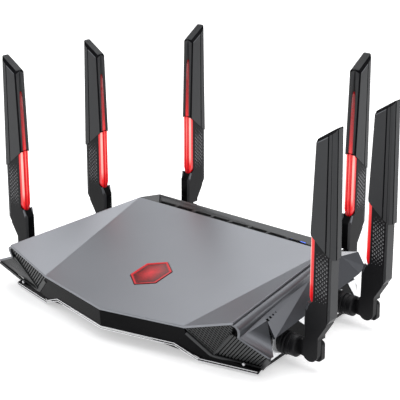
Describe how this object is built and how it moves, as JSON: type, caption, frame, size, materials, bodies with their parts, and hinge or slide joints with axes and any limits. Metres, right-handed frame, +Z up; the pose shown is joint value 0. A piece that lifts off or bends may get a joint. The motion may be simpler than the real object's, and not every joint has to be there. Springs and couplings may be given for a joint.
{
  "type": "wireless router",
  "caption": "Faceted desktop wireless router with blade antennas that swivel and fold, a lit badge, and network, USB and power sockets at the back.",
  "frame": {"origin": "on the table, under the middle of the whole outline with the antennas upright", "axes": "+Z up, +Y to the back where the sockets are, +X to the right seen from the front"},
  "size_m": [0.369, 0.2404, 0.2145],
  "materials": {
    "silver_plastic": "satin metallic grey paint on plastic",
    "dark_grey_plastic": "satin",
    "satin_grey_plastic": "satin metallic grey",
    "fin_grey_plastic": "satin metallic grey",
    "black_plastic": "fine texture",
    "gloss_black_plastic": "high gloss",
    "red_lens": "lit translucent red",
    "circuit_board": "solder mask",
    "clear_light_pipe": "clear acrylic",
    "aluminium": "extruded",
    "tinned_steel": "stamped tin plate",
    "button_plastic": "satin",
    "cable_jacket": "smooth",
    "rubber": "matte",
    "screw_steel": "zinc plated",
    "hinge_black_plastic": "satin",
    "arm_black_plastic": "satin, embossed",
    "sleeve_grey_plastic": "matte",
    "red_light_guide": "lit red acrylic"
  },
  "bodies": {
    "housing": {"top_panel": "silver_plastic", "rear_deck": "dark_grey_plastic", "shoulder_trims": "satin_grey_plastic", "side_fin_right": "fin_grey_plastic", "side_fin_left": "fin_grey_plastic", "corner_grilles": "black_plastic", "front_fascia": "gloss_black_plastic", "bottom_tray": "black_plastic", "rear_io_panel": "black_plastic", "badge_lens": "red_lens", "badge_light_board": "circuit_board", "status_light_pipe": "clear_light_pipe", "main_board": "circuit_board", "heatsink": "aluminium", "rf_shields": "tinned_steel", "ethernet_jacks": "tinned_steel", "usb_port": "tinned_steel", "dc_jack": "black_plastic", "antenna_leads": "cable_jacket", "rubber_feet": "rubber", "case_screws": "screw_steel"},
    "power_button_body": {"power_button": "button_plastic"},
    "wps_button_body": {"wps_button": "button_plastic"},
    "reset_button_body": {"reset_button": "button_plastic"},
    "right_front_swivel": {"right_front_knuckle": "hinge_black_plastic"},
    "right_front_blade": {"right_front_hinge_pin": "screw_steel", "right_front_arm": "arm_black_plastic", "right_front_sleeve": "sleeve_grey_plastic", "right_front_light_guide": "red_light_guide", "right_front_element": "circuit_board"},
    "right_rear_swivel": {"right_rear_knuckle": "hinge_black_plastic"},
    "right_rear_blade": {"right_rear_hinge_pin": "screw_steel", "right_rear_arm": "arm_black_plastic", "right_rear_sleeve": "sleeve_grey_plastic", "right_rear_light_guide": "red_light_guide", "right_rear_element": "circuit_board"},
    "left_front_swivel": {"left_front_knuckle": "hinge_black_plastic"},
    "left_front_blade": {"left_front_hinge_pin": "screw_steel", "left_front_arm": "arm_black_plastic", "left_front_sleeve": "sleeve_grey_plastic", "left_front_light_guide": "red_light_guide", "left_front_element": "circuit_board"},
    "left_rear_swivel": {"left_rear_knuckle": "hinge_black_plastic"},
    "left_rear_blade": {"left_rear_hinge_pin": "screw_steel", "left_rear_arm": "arm_black_plastic", "left_rear_sleeve": "sleeve_grey_plastic", "left_rear_light_guide": "red_light_guide", "left_rear_element": "circuit_board"},
    "back_right_swivel": {"back_right_knuckle": "hinge_black_plastic"},
    "back_right_blade": {"back_right_hinge_pin": "screw_steel", "back_right_arm": "arm_black_plastic", "back_right_sleeve": "sleeve_grey_plastic", "back_right_light_guide": "red_light_guide", "back_right_element": "circuit_board"},
    "back_left_swivel": {"back_left_knuckle": "hinge_black_plastic"},
    "back_left_blade": {"back_left_hinge_pin": "screw_steel", "back_left_arm": "arm_black_plastic", "back_left_sleeve": "sleeve_grey_plastic", "back_left_light_guide": "red_light_guide", "back_left_element": "circuit_board"}
  },
  "joints": [
    {"name": "right_front_turn", "type": "hinge", "parent": "housing", "child": "right_front_swivel", "pos_m": [0.164, -0.0489, 0.0162], "axis": [1, 0, 0], "range_deg": [-25, 80]},
    {"name": "right_front_fold", "type": "hinge", "parent": "right_front_swivel", "child": "right_front_blade", "pos_m": [0.164, -0.0489, 0.0162], "axis": [0, 1, 0], "range_deg": [0, 75]},
    {"name": "right_rear_turn", "type": "hinge", "parent": "housing", "child": "right_rear_swivel", "pos_m": [0.1543, 0.0441, 0.0162], "axis": [1, 0, 0], "range_deg": [-80, 25]},
    {"name": "right_rear_fold", "type": "hinge", "parent": "right_rear_swivel", "child": "right_rear_blade", "pos_m": [0.1543, 0.0441, 0.0162], "axis": [0, 1, 0], "range_deg": [0, 75]},
    {"name": "left_front_turn", "type": "hinge", "parent": "housing", "child": "left_front_swivel", "pos_m": [-0.164, -0.0489, 0.0162], "axis": [1, 0, 0], "range_deg": [-25, 80]},
    {"name": "left_front_fold", "type": "hinge", "parent": "left_front_swivel", "child": "left_front_blade", "pos_m": [-0.164, -0.0489, 0.0162], "axis": [0, -1, 0], "range_deg": [0, 75]},
    {"name": "left_rear_turn", "type": "hinge", "parent": "housing", "child": "left_rear_swivel", "pos_m": [-0.1543, 0.0441, 0.0162], "axis": [1, 0, 0], "range_deg": [-80, 25]},
    {"name": "left_rear_fold", "type": "hinge", "parent": "left_rear_swivel", "child": "left_rear_blade", "pos_m": [-0.1543, 0.0441, 0.0162], "axis": [0, -1, 0], "range_deg": [0, 75]},
    {"name": "back_right_turn", "type": "hinge", "parent": "housing", "child": "back_right_swivel", "pos_m": [0.0937, 0.1007, 0.0295], "axis": [0, 1, 0], "range_deg": [-25, 60]},
    {"name": "back_right_fold", "type": "hinge", "parent": "back_right_swivel", "child": "back_right_blade", "pos_m": [0.0937, 0.1007, 0.0295], "axis": [-1, 0, 0], "range_deg": [0, 75]},
    {"name": "back_left_turn", "type": "hinge", "parent": "housing", "child": "back_left_swivel", "pos_m": [-0.0937, 0.1007, 0.0295], "axis": [0, -1, 0], "range_deg": [-25, 60]},
    {"name": "back_left_fold", "type": "hinge", "parent": "back_left_swivel", "child": "back_left_blade", "pos_m": [-0.0937, 0.1007, 0.0295], "axis": [-1, 0, 0], "range_deg": [0, 75]},
    {"name": "power_press", "type": "slide", "parent": "housing", "child": "power_button_body", "axis": [0, -1, 0], "range_m": [0, 0.0012], "stiffness_N_per_m": 300},
    {"name": "wps_press", "type": "slide", "parent": "housing", "child": "wps_button_body", "axis": [0, -1, 0], "range_m": [0, 0.0012], "stiffness_N_per_m": 300},
    {"name": "reset_press", "type": "slide", "parent": "housing", "child": "reset_button_body", "axis": [0, -1, 0], "range_m": [0, 0.0008], "stiffness_N_per_m": 300}
  ]
}
